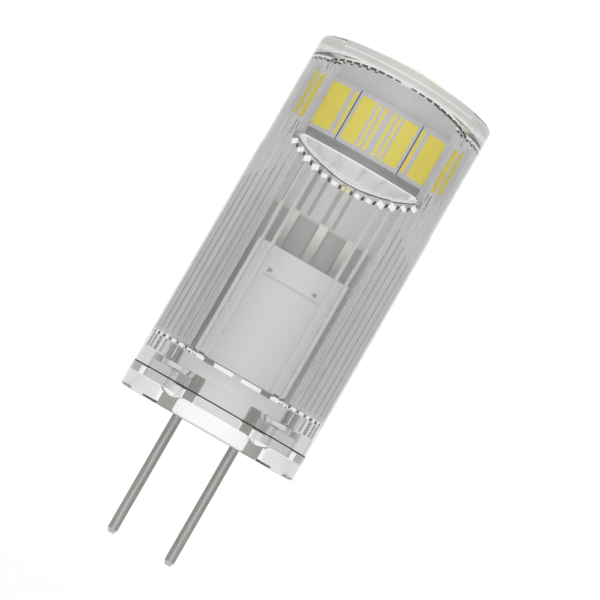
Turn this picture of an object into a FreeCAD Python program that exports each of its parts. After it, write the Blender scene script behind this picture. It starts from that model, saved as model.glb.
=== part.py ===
import FreeCAD, Part
import math
import os
import Sketcher

# Bi-pin LED bulb, in millimetres.  The lamp stands upright: its axis is Z, the underside of the base
# is z = 0, the pins point down and the face with the driver block looks along -Y.

doc = FreeCAD.newDocument("bi_pin_led_bulb")
sheet = doc.addObject("Spreadsheet::Sheet", "Sizes")
V = FreeCAD.Vector


# A length keeps its number and the words that bind it to the sheet.
class Length:
    def __init__(self, value, text):
        self.value = value
        self.text = text

    def __add__(self, other):
        other = as_length(other)
        return Length(self.value + other.value, f"({self.text} + {other.text})")

    def __sub__(self, other):
        other = as_length(other)
        return Length(self.value - other.value, f"({self.text} - {other.text})")

    def __mul__(self, number):
        return Length(self.value * number, f"({self.text} * {number})")

    def __truediv__(self, number):
        return Length(self.value / number, f"({self.text} / {number})")

    def __neg__(self):
        return self * -1


def as_length(item):
    return item if isinstance(item, Length) else Length(float(item), str(item))


def root_of_difference(long_side, short_side):
    """The third side of a right triangle."""
    value = math.sqrt(long_side.value ** 2 - short_side.value ** 2)
    return Length(value, f"sqrt({long_side.text}^2 - {short_side.text}^2)")


rows = {}


def size(name, value):
    """One row of the sheet: the name in column A, the number in column B."""
    row = len(rows) + 1
    rows[name] = value
    sheet.set(f"A{row}", name)
    sheet.set(f"B{row}", str(value))
    sheet.setAlias(f"B{row}", name)
    return Length(float(value), f"Sizes.{name}")


# Clear cover: the outside.
cover_radius = size("cover_radius", 6.03)
upper_step = size("upper_step", 0.04)
step_height = size("step_height", 17.0)
step_slope = size("step_slope", 0.4)
cover_foot = size("cover_foot", 1.72)
shoulder_height = size("shoulder_height", 24.76)
dome_radius = size("dome_radius", 4.95)
dome_foot = size("dome_foot", 24.86)
dome_height = size("dome_height", 25.7)
shoulder_round = size("shoulder_round", 0.3)

# The chamber inside it, shaped as the core of the mould: round and fluted, with two flats above.  The
# lines are two fine upright ridges on each flat.
chamber_radius = size("chamber_radius", 4.95)
chamber_edge = size("chamber_edge", 23.46)
chamber_top = size("chamber_top", 24.5)
socket_radius = size("socket_radius", 5.22)
ledge_height = size("ledge_height", 2.76)
flat_depth = size("flat_depth", 2.7)
shelf_low = size("shelf_low", 16.9)
shelf_high = size("shelf_high", 18.55)
rib_count = 44
rib_steps = 8
rib_foot = size("rib_foot", 3.92)
rib_depth = size("rib_depth", 0.045)
rib_width = size("rib_width", 0.6)
rib_crest = size("rib_crest", 0.1)
rail_inner = size("rail_inner", 3.34)
rail_outer = size("rail_outer", 3.98)
rail_reach = size("rail_reach", 1.2)
line_across = size("line_across", 0.45)
line_width = size("line_width", 0.07)
line_height = size("line_height", 0.05)

# Base plug.
flange_radius = size("flange_radius", 6.06)
flange_height = size("flange_height", 1.64)
flange_chamfer = size("flange_chamfer", 0.1)
spigot_radius = size("spigot_radius", 5.17)
spigot_height = size("spigot_height", 2.7)
plug_bore = size("plug_bore", 4.5)
plug_floor = size("plug_floor", 1.08)
collar_outer = size("collar_outer", 4.62)
collar_inner = size("collar_inner", 4.1)
collar_height = size("collar_height", 3.65)
collar_opening = size("collar_opening", 3.45)
notch_count = 18
notch_width = size("notch_width", 0.7)
post_inner = size("post_inner", 2.8)
post_pocket_inner = size("post_pocket_inner", 3.45)
post_pocket_outer = size("post_pocket_outer", 4.0)
post_pocket_depth = size("post_pocket_depth", 1.2)
post_pocket_floor = size("post_pocket_floor", 2.27)
lead_in_radius = size("lead_in_radius", 0.62)
lead_in_depth = size("lead_in_depth", 0.28)

# Contact pins.
pin_spacing = size("pin_spacing", 4.0)
pin_radius = size("pin_radius", 0.325)
grip_half = size("grip_half", 0.34)
pin_reach = size("pin_reach", 8.2)
pin_tip_length = size("pin_tip_length", 0.26)
pin_tip_radius = size("pin_tip_radius", 0.2)
pin_top = size("pin_top", 5.4)

# Clearances between pieces that were made apart.
fit_gap = size("fit_gap", 0.02)
slide_gap = size("slide_gap", 0.05)

# Terminal block on the posts of the plug.
terminal_half_width = size("terminal_half_width", 3.4)
terminal_half_depth = size("terminal_half_depth", 1.7)
terminal_height = size("terminal_height", 3.64)
nib_half_width = size("nib_half_width", 0.28)
barrier_half_width = size("barrier_half_width", 1.5)

# Board and light sources.
board_foot = size("board_foot", 3.95)
board_corner = size("board_corner", 23.38)
board_top = size("board_top", 24.42)
board_half_width = size("board_half_width", 4.8)
board_half_depth = size("board_half_depth", 0.4)
led_width = size("led_width", 2.76)
led_height = size("led_height", 3.49)
led_depth = size("led_depth", 0.7)
led_middle = size("led_middle", 21.06)
led_gap = size("led_gap", 0.05)
led_rim = size("led_rim", 0.27)
led_cup_depth = size("led_cup_depth", 0.4)

# Insulating sheet, driver block and its board.
sheet_left = size("sheet_left", 4.8)
sheet_right = size("sheet_right", 3.2)
sheet_foot = size("sheet_foot", 4.0)
sheet_top = size("sheet_top", 14.32)
sheet_depth = size("sheet_depth", 0.3)
block_half_width = size("block_half_width", 2.95)
block_foot = size("block_foot", 4.06)
block_top = size("block_top", 11.8)
block_front = size("block_front", 3.0)
block_wall = size("block_wall", 0.35)
crease_height = size("crease_height", 10.0)
crease_width = size("crease_width", 0.12)
crease_depth = size("crease_depth", 0.06)
mark_reach = size("mark_reach", 1.42)
mark_height = size("mark_height", 10.35)
mark_size = size("mark_size", 0.34)
mark_depth = size("mark_depth", 0.1)
driver_board_depth = size("driver_board_depth", 0.4)
lead_width = size("lead_width", 0.6)
lead_depth = size("lead_depth", 0.22)
lead_rise = size("lead_rise", 0.18)
lead_left = size("lead_left", -2.0)
lead_right = size("lead_right", 1.9)

# Parts of the driver, inside the cap.
package_height = size("package_height", 1.2)
package_foot = size("package_foot", 0.1)
rectifier_width = size("rectifier_width", 3.6)
rectifier_length = size("rectifier_length", 2.4)
rectifier_rise = size("rectifier_rise", 0.35)
leg_width = size("leg_width", 0.5)
leg_reach = size("leg_reach", 0.5)
leg_depth = size("leg_depth", 0.35)
chip_width = size("chip_width", 2.0)
chip_length = size("chip_length", 2.0)
chip_left = size("chip_left", -2.2)
chip_drop = size("chip_drop", 0.74)
chip_leg_width = size("chip_leg_width", 0.35)
choke_radius = size("choke_radius", 1.1)
choke_neck = size("choke_neck", 0.7)
choke_across = size("choke_across", 1.3)
choke_drop = size("choke_drop", 1.94)
choke_cheek = size("choke_cheek", 0.3)

# Parts on the back of the board.
capacitor_width = size("capacitor_width", 1.6)
capacitor_length = size("capacitor_length", 3.2)
capacitor_depth = size("capacitor_depth", 1.4)
capacitor_across = size("capacitor_across", 1.7)
capacitor_rise = size("capacitor_rise", 3.0)
resistor_width = size("resistor_width", 1.25)
resistor_length = size("resistor_length", 2.0)
resistor_depth = size("resistor_depth", 0.55)
resistor_count = 4
resistor_pitch = size("resistor_pitch", 1.7)
resistor_rise = size("resistor_rise", 7.4)
fuse_length = size("fuse_length", 3.2)
fuse_width = size("fuse_width", 1.6)
fuse_rise = size("fuse_rise", 10.4)
solder_half_width = size("solder_half_width", 0.75)
solder_depth = size("solder_depth", 0.35)

# Windows of phosphor, as shares of a package's width either side of its middle: the middle package
# has five white bars, each outer one has a bar next to the middle package.
middle_windows = ((0.047, 0.101), (0.145, 0.192), (0.232, 0.460))
outer_windows = ((-0.489, -0.435), (-0.370, -0.072), (-0.020, 0.195))


def bind(thing, field, length):
    """Sets a number of a feature and ties it to the sheet."""
    setattr(thing, field, length.value)
    thing.setExpression(field, length.text)


def new_body(name):
    body = doc.addObject("PartDesign::Body", name)
    body.Label = name
    return body


def origin_plane(body, role):
    return next(item for item in body.Origin.OriginFeatures if item.Role == role)


def new_sketch(body, name, role, height=None):
    sketch = body.newObject("Sketcher::SketchObject", name)
    sketch.AttachmentSupport = [(origin_plane(body, role), "")]
    sketch.MapMode = "FlatFace"
    if height is not None:
        sketch.AttachmentOffset = FreeCAD.Placement(V(0, 0, height.value), FreeCAD.Rotation())
        sketch.setExpression("AttachmentOffset.Base.z", height.text)
    return sketch


def pin_down(sketch, piece, end, across, up):
    """Holds one end of a line at two lengths from the sketch's origin."""
    for kind, axis, length in (("DistanceX", -2, across), ("DistanceY", -1, up)):
        length = as_length(length)
        if length.value == 0:
            sketch.addConstraint(Sketcher.Constraint("PointOnObject", piece, end, axis))
        else:
            at = sketch.addConstraint(Sketcher.Constraint(kind, -1, 1, piece, end, length.value))
            sketch.setExpression(f"Constraints[{at}]", length.text)


def draw_outline(sketch, points, arcs=()):
    """A closed outline; the sides named in arcs are arcs whose centre is on the upright axis."""
    corners = [V(as_length(x).value, as_length(y).value, 0) for x, y in points]
    first = sketch.GeometryCount
    ends = []
    for number, start in enumerate(corners):
        stop = corners[(number + 1) % len(corners)]
        if number not in arcs:
            sketch.addGeometry(Part.LineSegment(start, stop), False)
            ends.append((1, 2))
            continue
        rise = (stop.dot(stop) - start.dot(start)) / (2 * (stop.y - start.y))
        middle = V(0, rise, 0)
        turns = [math.atan2(p.y - rise, p.x) for p in (start, stop)]
        forward = (turns[1] - turns[0]) % (2 * math.pi) < math.pi
        circle = Part.Circle(middle, V(0, 0, 1), (start - middle).Length)
        low, high = turns if forward else (turns[1], turns[0])
        sketch.addGeometry(Part.ArcOfCircle(circle, low, high), False)
        ends.append((1, 2) if forward else (2, 1))
    for number in range(len(corners)):
        after = (number + 1) % len(corners)
        joint = Sketcher.Constraint("Coincident", first + number, ends[number][1],
                                    first + after, ends[after][0])
        sketch.addConstraint(joint)
        if number in arcs:
            sketch.addConstraint(Sketcher.Constraint("PointOnObject", first + number, 3, -2))
    for number, (across, up) in enumerate(points):
        pin_down(sketch, first + number, ends[number][0], across, up)


def draw_box(sketch, left, right, low, high):
    draw_outline(sketch, [(left, low), (right, low), (right, high), (left, high)])


def turn(body, kind, sketch, name):
    """A full turn of a half section, kind being Revolution or Groove."""
    feature = body.newObject(f"PartDesign::{kind}", name)
    feature.Profile = sketch
    feature.ReferenceAxis = (sketch, ["V_Axis"])
    feature.Angle = 360
    sketch.Visibility = False
    doc.recompute()
    return feature


def raise_or_cut(body, kind, sketch, name, length, backwards=False, midplane=False):
    """A straight Pad or Pocket of a sketch."""
    feature = body.newObject(f"PartDesign::{kind}", name)
    feature.Profile = sketch
    bind(feature, "Length", length)
    feature.Reversed = backwards
    feature.Midplane = midplane
    sketch.Visibility = False
    doc.recompute()
    return feature


def pattern_round(body, features, name, count, axis, angle=360.0, backwards=False):
    feature = body.newObject("PartDesign::PolarPattern", name)
    feature.Originals = features
    feature.Axis = axis
    feature.Angle = angle
    feature.Reversed = backwards
    feature.Occurrences = count
    body.Tip = feature
    doc.recompute()
    return feature


def mirror(body, features, name):
    feature = body.newObject("PartDesign::Mirrored", name)
    feature.Originals = features
    feature.MirrorPlane = (origin_plane(body, "YZ_Plane"), [""])
    body.Tip = feature
    doc.recompute()
    return feature


def ring_edges(feature, radius, height):
    """Names of the round edges of one radius at one height."""
    near = slide_gap.value / 100
    names = []
    for number, edge in enumerate(feature.Shape.Edges, 1):
        if edge.Degenerated:
            continue
        curve = edge.Curve
        if isinstance(curve, Part.Circle) and abs(curve.Radius - radius) < near:
            if abs(curve.Center.z - height) < near:
                names.append(f"Edge{number}")
    return names


def make_cover():
    """The domed tube: the outside is turned, and the shape of the mould's core is taken out of it."""
    body = new_body("cover_blank")
    outside = new_sketch(body, "cover_outside", "XZ_Plane")
    upper_radius = cover_radius - upper_step
    draw_outline(outside, [(0, cover_foot), (cover_radius, cover_foot), (cover_radius, step_height),
                           (upper_radius, step_height + step_slope), (upper_radius, shoulder_height),
                           (dome_radius, dome_foot), (0, dome_height)], arcs=(5,))
    solid = turn(body, "Revolution", outside, "cover_solid")
    rounding = body.newObject("PartDesign::Fillet", "shoulder_rounding")
    rounding.Base = (solid, ring_edges(solid, upper_radius.value, shoulder_height.value))
    bind(rounding, "Radius", shoulder_round)
    doc.recompute()
    return cut("clear_cover", body, [make_core()])


def make_core():
    """The core that forms the chamber: a socket, a round part with two fields of grooves, two flats."""
    body = new_body("cover_core")
    section = new_sketch(body, "core_section", "XZ_Plane")
    draw_outline(section, [(0, cover_foot - slide_gap), (socket_radius, cover_foot - slide_gap),
                           (socket_radius, ledge_height), (chamber_radius, ledge_height),
                           (chamber_radius, chamber_edge), (0, chamber_top)], arcs=(4,))
    turn(body, "Revolution", section, "core_turned")
    rib = new_sketch(body, "chamber_rib_outline", "XY_Plane", rib_foot)
    root = chamber_radius + slide_gap
    crest = chamber_radius - rib_depth
    for way in (-1, 1):
        draw_outline(rib, [(root * way, -(rib_width / 2)), (root * way, rib_width / 2),
                           (crest * way, rib_crest / 2), (crest * way, -(rib_crest / 2))])
    first = raise_or_cut(body, "Pocket", rib, "chamber_rib", chamber_top - rib_foot + slide_gap, True)
    spread = 360.0 * rib_steps / rib_count
    for number, backwards in enumerate((False, True), 1):
        pattern_round(body, [first], f"chamber_ribs_{number}", rib_steps + 1, (rib, ["N_Axis"]),
                      spread, backwards)
    side = new_sketch(body, "core_flat_side", "YZ_Plane")
    out = cover_radius
    above = chamber_top + slide_gap
    rise = (shelf_high - shelf_low) * ((out - chamber_radius).value / (chamber_radius - flat_depth).value)
    for way in (-1, 1):
        draw_outline(side, [(out * way, shelf_low - rise), (chamber_radius * way, shelf_low),
                            (flat_depth * way, shelf_high), (flat_depth * way, above),
                            (out * way, above)])
    raise_or_cut(body, "Pocket", side, "core_flats", cover_radius * 2, midplane=True)
    rails = new_sketch(body, "core_rail_outline", "XY_Plane", chamber_top)
    for way in (-1, 1):
        for hand in (-1, 1):
            draw_box(rails, rail_inner * hand, rail_outer * hand, rail_reach * way, out * way)
            draw_box(rails, (line_across - line_width / 2) * hand, (line_across + line_width / 2) * hand,
                     (flat_depth - line_height) * way, out * way)
    raise_or_cut(body, "Pocket", rails, "core_rails", chamber_top - shelf_high)
    return body


def make_plug():
    """The clear plug: a thick floor, a spigot, a notched collar, and two solid posts beside the pins."""
    body = new_body("base_plug")
    section = new_sketch(body, "plug_section", "XZ_Plane")
    draw_outline(section, [(0, 0), (flange_radius - flange_chamfer, 0), (flange_radius, flange_chamfer),
                           (flange_radius, flange_height), (spigot_radius, flange_height),
                           (spigot_radius, spigot_height), (plug_bore, spigot_height),
                           (plug_bore, plug_floor), (0, plug_floor)])
    turn(body, "Revolution", section, "plug_turned")
    ring = new_sketch(body, "collar_section", "XZ_Plane")
    draw_box(ring, collar_inner, collar_outer, spigot_height - slide_gap, collar_height)
    turn(body, "Revolution", ring, "collar")
    notch = new_sketch(body, "collar_notch_outline", "XY_Plane", collar_height)
    draw_box(notch, collar_inner - slide_gap, collar_outer + slide_gap,
             -(notch_width / 2), notch_width / 2)
    first = raise_or_cut(body, "Pocket", notch, "collar_notch", collar_height - spigot_height)
    pattern_round(body, [first], "collar_notches", notch_count, (notch, ["N_Axis"]))
    opening = new_sketch(body, "collar_opening_outline", "XY_Plane", collar_height)
    draw_box(opening, -collar_opening, collar_opening, -collar_outer, collar_outer)
    raise_or_cut(body, "Pocket", opening, "collar_open_sides", collar_height - spigot_height)
    posts = new_sketch(body, "post_outline", "XY_Plane", plug_floor)
    tops = new_sketch(body, "post_pocket_outline", "XY_Plane", spigot_height)
    wall = plug_bore + slide_gap
    chord = root_of_difference(wall, post_inner)
    for way in (-1, 1):
        draw_outline(posts, [(post_inner * way, -(chord * way)), (post_inner * way, chord * way)],
                     arcs=(1,))
        draw_box(tops, post_pocket_inner * way, post_pocket_outer * way,
                 -post_pocket_depth, post_pocket_depth)
    raise_or_cut(body, "Pad", posts, "posts", spigot_height - plug_floor)
    raise_or_cut(body, "Pocket", tops, "post_pockets", spigot_height - post_pocket_floor)
    cut_pin_holes(body, "plug", plug_floor, plug_floor)
    cone = new_sketch(body, "lead_in_outline", "XZ_Plane")
    middle = pin_spacing / 2
    low = plug_floor - lead_in_depth
    high = plug_floor + fit_gap
    draw_outline(cone, [(middle, low), (middle + grip_half, low), (middle + lead_in_radius, high),
                        (middle, high)])
    lead_in = body.newObject("PartDesign::Groove", "lead_in")
    lead_in.Profile = cone
    lead_in.ReferenceAxis = (cone, ["Edge4"])
    lead_in.Angle = 360
    cone.Visibility = False
    doc.recompute()
    mirror(body, [lead_in], "lead_in_pair")
    return body


def cut_pin_holes(body, tag, height, depth):
    """Two square holes that take the grips of the pins, cut down from one height."""
    holes = new_sketch(body, f"{tag}_hole_outline", "XY_Plane", height)
    reach = grip_half + fit_gap
    for way in (-1, 1):
        middle = pin_spacing * (way / 2)
        draw_box(holes, middle - reach, middle + reach, -reach, reach)
    return raise_or_cut(body, "Pocket", holes, f"{tag}_holes", depth)


def make_pin(name, side):
    """A round wire pin with a chamfered tip; its upper part is stamped square where it is gripped."""
    body = new_body(name)
    section = new_sketch(body, f"{name}_section", "XZ_Plane")
    draw_outline(section, [(0, -pin_reach), (pin_tip_radius, -pin_reach),
                           (pin_radius, pin_tip_length - pin_reach), (pin_radius, 0), (0, 0)])
    turn(body, "Revolution", section, f"{name}_turned")
    grip = new_sketch(body, f"{name}_grip_outline", "XY_Plane")
    draw_box(grip, -grip_half, grip_half, -grip_half, grip_half)
    raise_or_cut(body, "Pad", grip, f"{name}_grip", pin_top)
    body.Placement.Base = V(side * pin_spacing.value / 2, 0, 0)
    body.setExpression("Placement.Base.x", (pin_spacing * (side / 2)).text)
    return body


def make_terminal_block():
    """The grey block on the posts: it guides both pins, parts them with a barrier and carries the
    board on a nib."""
    body = new_body("terminal_block")
    front = new_sketch(body, "terminal_front", "XZ_Plane")
    low = spigot_height + fit_gap
    foot = plug_floor + fit_gap
    nib_top = board_foot - fit_gap
    draw_outline(front, [(-terminal_half_width, low), (-barrier_half_width, low),
                         (-barrier_half_width, foot), (barrier_half_width, foot),
                         (barrier_half_width, low), (terminal_half_width, low),
                         (terminal_half_width, terminal_height), (nib_half_width, terminal_height),
                         (nib_half_width, nib_top), (-nib_half_width, nib_top),
                         (-nib_half_width, terminal_height), (-terminal_half_width, terminal_height)])
    raise_or_cut(body, "Pad", front, "terminal_body", terminal_half_depth * 2, midplane=True)
    cut_pin_holes(body, "terminal", terminal_height, terminal_height - spigot_height)
    return body


def make_board():
    """The upright board, arched under the dome and notched for the grips of the pins."""
    body = new_body("led_board")
    front = new_sketch(body, "board_front", "XZ_Plane")
    edge = grip_half + slide_gap
    right = pin_spacing / 2 + edge
    left = pin_spacing / 2 - edge
    notch_top = pin_top + slide_gap
    draw_outline(front, [(-board_half_width, board_foot), (-right, board_foot), (-right, notch_top),
                         (-left, notch_top), (-left, board_foot), (left, board_foot),
                         (left, notch_top), (right, notch_top), (right, board_foot),
                         (board_half_width, board_foot), (board_half_width, board_corner),
                         (0, board_top), (-board_half_width, board_corner)], arcs=(10, 11))
    raise_or_cut(body, "Pad", front, "board_plate", board_half_depth * 2, midplane=True)
    return body


def box(name, left, right, front, back, low, high):
    """A box between six lengths, tied to the sheet."""
    solid = doc.addObject("Part::Box", name)
    left, right, front, back, low, high = [as_length(n) for n in (left, right, front, back, low, high)]
    bind(solid, "Length", right - left)
    bind(solid, "Width", back - front)
    bind(solid, "Height", high - low)
    solid.Placement.Base = V(left.value, front.value, low.value)
    solid.setExpression("Placement.Base.x", left.text)
    solid.setExpression("Placement.Base.y", front.text)
    solid.setExpression("Placement.Base.z", low.text)
    return solid


def group(name, parts):
    """Like pieces side by side as one node; a single piece keeps its own object."""
    whole = doc.addObject("Part::Compound", name)
    whole.Links = parts
    whole.Label = name
    return whole


def cut(name, base, tools):
    """A piece with other shapes taken out of it."""
    tool = tools[0] if len(tools) == 1 else group(f"{name}_tools", tools)
    whole = doc.addObject("Part::Cut", name)
    whole.Base = base
    whole.Tool = tool
    whole.Label = name
    return whole


def make_leds(face, side):
    """One row of three packages: white frames with windows, and the yellow filling of each window."""
    frames, fillings = [], []
    near = board_half_depth
    far = board_half_depth + led_depth
    floor = far - led_cup_depth
    depths = (near, far) if side > 0 else (-far, -near)
    cup_depths = (floor, far) if side > 0 else (-far, -floor)
    low = led_middle - led_height / 2
    high = led_middle + led_height / 2
    for number in (-1, 0, 1):
        tag = f"{face}_{number + 2}"
        middle = (led_width + led_gap) * number
        shares = [(a * number, b * number) for a, b in outer_windows]
        if number == 0:
            shares = [(a * way, b * way) for a, b in middle_windows for way in (-1, 1)]
        frame = box(f"frame_block_{tag}", middle - led_width / 2, middle + led_width / 2,
                    *depths, low, high)
        hollows = []
        for place, pair in enumerate(shares, 1):
            span = (middle + led_width * min(pair), middle + led_width * max(pair), *cup_depths,
                    low + led_rim, high - led_rim)
            hollows.append(box(f"frame_window_{tag}_{place}", *span))
            fillings.append(box(f"phosphor_fill_{tag}_{place}", *span))
        frames.append(cut(f"frame_{tag}", frame, hollows))
    return [group(f"led_frames_{face}", frames), group(f"led_phosphor_{face}", fillings)]


def make_insulating_sheet():
    """The grey sheet between the board and the driver block; it shows on the left of the block."""
    near = -(board_half_depth + fit_gap)
    return box("insulating_sheet", -sheet_left, sheet_right, near - sheet_depth, near,
               sheet_foot, sheet_top)


def make_driver_cap():
    """The light grey cap of the driver: hollow, with a crease and two pointed marks on its face."""
    body = new_body("driver_cap")
    back = board_half_depth + fit_gap * 2 + sheet_depth
    plan = new_sketch(body, "cap_plan", "XY_Plane", block_foot)
    draw_box(plan, -block_half_width, block_half_width, -block_front, -back)
    raise_or_cut(body, "Pad", plan, "cap_block", block_top - block_foot)
    hollow = new_sketch(body, "cap_hollow_outline", "XY_Plane", block_foot + block_wall)
    inside = block_half_width - block_wall
    draw_box(hollow, -inside, inside, block_wall - block_front, slide_gap - back)
    raise_or_cut(body, "Pocket", hollow, "cap_hollow", block_top - block_foot - block_wall * 2, True)
    crease = new_sketch(body, "cap_crease_outline", "XZ_Plane", block_front)
    draw_box(crease, -(mark_reach + mark_size), mark_reach + mark_size,
             crease_height - crease_width / 2, crease_height + crease_width / 2)
    raise_or_cut(body, "Pocket", crease, "cap_crease", crease_depth)
    marks = new_sketch(body, "cap_mark_outline", "XZ_Plane", block_front)
    half = mark_size / 2
    for side in (-1, 1):
        draw_outline(marks, [((mark_reach + half) * side, mark_height - half),
                             ((mark_reach - half) * side, mark_height),
                             ((mark_reach + half) * side, mark_height + half)])
    raise_or_cut(body, "Pocket", marks, "cap_marks", mark_depth)
    return body


def make_driver_parts():
    """The driver module inside the cap: its board, rectifier, chip, choke and their leads."""
    back = -(board_half_depth + fit_gap * 2 + sheet_depth)
    face = back - driver_board_depth
    inside = block_half_width - block_wall - slide_gap
    low = block_foot + block_wall + slide_gap
    high = block_top - block_wall - slide_gap
    parts = [box("driver_board", -inside, inside, face, back, low, high)]

    front = face - package_foot - package_height
    left = -(rectifier_width / 2)
    right = rectifier_width / 2
    start = low + rectifier_rise
    parts.append(box("rectifier", left, right, front, face - package_foot,
                     start, start + rectifier_length))
    legs = []
    for number, z in enumerate((start + leg_width / 2,
                                start + rectifier_length - leg_width / 2 - leg_width), 1):
        legs.append(box(f"rectifier_leg_left_{number}", left - leg_reach, left,
                        face - leg_depth, face, z, z + leg_width))
        legs.append(box(f"rectifier_leg_right_{number}", right, right + leg_reach,
                        face - leg_depth, face, z, z + leg_width))
    parts.append(group("rectifier_leads", legs))

    end = high - chip_drop
    start = end - chip_length
    parts.append(box("driver_chip", chip_left, chip_left + chip_width, front,
                     face - package_foot, start, end))
    legs = []
    for number in range(3):
        x = chip_left + (chip_width - chip_leg_width * 2) / 2 * number + chip_leg_width / 2
        legs.append(box(f"chip_leg_low_{number + 1}", x, x + chip_leg_width,
                        face - leg_depth, face, start - leg_reach, start))
        legs.append(box(f"chip_leg_high_{number + 1}", x, x + chip_leg_width,
                        face - leg_depth, face, end, end + leg_reach))
    parts.append(group("driver_chip_leads", legs))
    return parts + make_choke(face, high - choke_drop)


def make_choke(face, height):
    """The choke: a ferrite spool that stands out from the driver's board, and its winding."""
    tall = package_height + package_foot
    pieces = []
    for name, points in (
            ("choke_core", [(0, 0), (choke_radius, 0), (choke_radius, choke_cheek),
                            (choke_neck, choke_cheek), (choke_neck, tall - choke_cheek),
                            (choke_radius, tall - choke_cheek), (choke_radius, tall), (0, tall)]),
            ("choke_winding", [(choke_neck, choke_cheek), (choke_radius - package_foot, choke_cheek),
                               (choke_radius - package_foot, tall - choke_cheek),
                               (choke_neck, tall - choke_cheek)])):
        body = new_body(name)
        section = new_sketch(body, f"{name}_section", "XZ_Plane")
        draw_outline(section, points)
        turn(body, "Revolution", section, f"{name}_turned")
        body.Placement = FreeCAD.Placement(V(choke_across.value, face.value, height.value),
                                           FreeCAD.Rotation(V(1, 0, 0), 90))
        body.setExpression("Placement.Base.x", choke_across.text)
        body.setExpression("Placement.Base.y", face.text)
        body.setExpression("Placement.Base.z", height.text)
        pieces.append(body)
    return pieces


def make_module_leads():
    """Three tinned strips from the driver module over the sheet to the pads of the board."""
    near = -(board_half_depth + fit_gap * 2 + sheet_depth)
    top = sheet_top + lead_rise
    parts = []
    for tag, middle in (("left", lead_left), ("middle", as_length(0)), ("right", lead_right)):
        body = new_body(f"lead_strip_{tag}")
        side = new_sketch(body, f"lead_side_{tag}", "YZ_Plane", middle)
        draw_outline(side, [(near - lead_depth, block_top + fit_gap), (near, block_top + fit_gap),
                            (near, sheet_top + fit_gap), (-board_half_depth, sheet_top + fit_gap),
                            (-board_half_depth, top), (near - lead_depth, top)])
        raise_or_cut(body, "Pad", side, f"lead_strip_pad_{tag}", lead_width, midplane=True)
        parts.append(body)
    return group("module_leads", parts)


def make_back_parts():
    """Chip parts and solder on the back of the board."""
    near = board_half_depth
    parts = []
    for name, middle in (("input_capacitor", -capacitor_across),
                         ("output_capacitor", capacitor_across)):
        low = board_foot + capacitor_rise
        parts.append(box(name, middle - capacitor_width / 2, middle + capacitor_width / 2, near,
                         near + capacitor_depth, low, low + capacitor_length))
    row = []
    low = board_foot + resistor_rise
    for number in range(resistor_count):
        middle = resistor_pitch * (number - (resistor_count - 1) / 2)
        row.append(box(f"resistor_{number + 1}", middle - resistor_width / 2,
                       middle + resistor_width / 2, near, near + resistor_depth,
                       low, low + resistor_length))
    parts.append(group("chip_resistors", row))
    low = board_foot + fuse_rise
    parts.append(box("fuse", -(fuse_length / 2), fuse_length / 2, near, near + resistor_depth,
                     low, low + fuse_width))
    joints = []
    for number, side in enumerate((-1, 1), 1):
        middle = pin_spacing * (side / 2)
        joints.append(box(f"solder_joint_{number}", middle - solder_half_width,
                          middle + solder_half_width, near, near + solder_depth,
                          board_foot + slide_gap, pin_top + solder_half_width))
    parts.append(group("solder_joints", joints))
    return parts


nodes = [make_cover(), make_plug(), make_terminal_block()]
nodes += [make_pin("contact_pin_left", -1), make_pin("contact_pin_right", 1)]
nodes += [make_board()] + make_leds("front", -1) + make_leds("back", 1)
nodes += [make_insulating_sheet(), make_driver_cap(), make_module_leads()]
nodes += make_driver_parts() + make_back_parts()
doc.recompute()

for item in doc.Objects:
    if "Invalid" in item.State or "Error" in item.State:
        raise RuntimeError(f"{item.Name} did not build: {item.State}")
os.makedirs("parts", exist_ok=True)
for node in nodes:
    shape = node.Shape
    if shape.isNull() or not shape.isValid() or shape.Volume <= 0:
        raise RuntimeError(f"{node.Name} has no sound shape")
    shape.exportStep(f"parts/{node.Label}.step")
    print(f"{node.Label}: {len(shape.Solids)} solid(s), {shape.Volume:.3f} mm3, "
          f"z {shape.BoundBox.ZMin:.2f} to {shape.BoundBox.ZMax:.2f}")
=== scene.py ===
import math

import bmesh
import bpy
from bpy.props import FloatProperty, FloatVectorProperty, PointerProperty
from bpy.types import Operator, Panel, PropertyGroup
from mathutils import Matrix, Vector


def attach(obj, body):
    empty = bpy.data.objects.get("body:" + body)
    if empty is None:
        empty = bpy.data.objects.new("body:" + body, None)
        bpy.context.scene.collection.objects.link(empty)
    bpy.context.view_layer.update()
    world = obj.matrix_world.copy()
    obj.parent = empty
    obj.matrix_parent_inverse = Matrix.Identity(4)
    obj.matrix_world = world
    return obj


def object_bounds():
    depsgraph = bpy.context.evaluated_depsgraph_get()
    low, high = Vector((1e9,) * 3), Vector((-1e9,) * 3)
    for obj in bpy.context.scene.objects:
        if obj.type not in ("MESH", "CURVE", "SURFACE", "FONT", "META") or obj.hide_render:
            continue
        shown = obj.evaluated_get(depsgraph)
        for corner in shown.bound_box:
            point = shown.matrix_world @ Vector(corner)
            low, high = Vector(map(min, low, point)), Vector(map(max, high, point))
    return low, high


bl_info = {
    "name": "Bi-pin bulb finish",
    "version": (1, 0, 0),
    "blender": (4, 5, 0),
    "location": "3D View > Sidebar > Bulb",
    "description": "Dresses the clear capsule bulb with its finishes, small details and studio",
    "category": "Object",
}

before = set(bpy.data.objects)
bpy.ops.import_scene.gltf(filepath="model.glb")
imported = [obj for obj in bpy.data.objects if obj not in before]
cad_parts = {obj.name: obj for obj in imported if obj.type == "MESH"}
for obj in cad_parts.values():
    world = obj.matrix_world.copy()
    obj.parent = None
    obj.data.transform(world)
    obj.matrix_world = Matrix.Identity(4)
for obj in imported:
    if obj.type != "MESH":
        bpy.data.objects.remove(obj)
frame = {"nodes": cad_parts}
START_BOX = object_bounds()
MM = 0.001

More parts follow.
